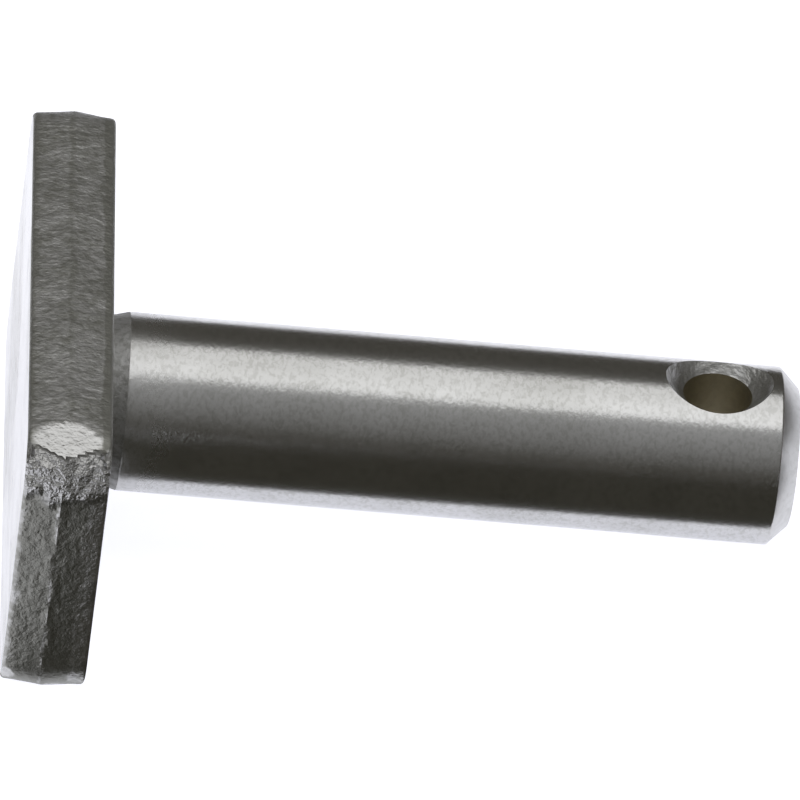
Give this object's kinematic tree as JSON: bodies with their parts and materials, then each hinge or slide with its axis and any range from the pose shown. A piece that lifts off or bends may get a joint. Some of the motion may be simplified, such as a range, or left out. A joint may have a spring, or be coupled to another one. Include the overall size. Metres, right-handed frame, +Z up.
{
  "type": "clevis pin",
  "caption": "Headed clevis pin of steel: a turned shank with a countersunk cross hole near its chamfered tip, and a flat oblong head that stops it turning.",
  "frame": {"origin": "on the surface that the pin lies on, under the middle of its box", "axes": "+X along the pin from head to tip, leaning down by the rest angle; +Y along the head's long side; +Z up"},
  "size_m": [0.08, 0.0616, 0.0309],
  "materials": {
    "pin_steel": "satin turned shank, rough dull head edges"
  },
  "bodies": {
    "root": {"clevis_pin": "pin_steel"}
  },
  "joints": []
}
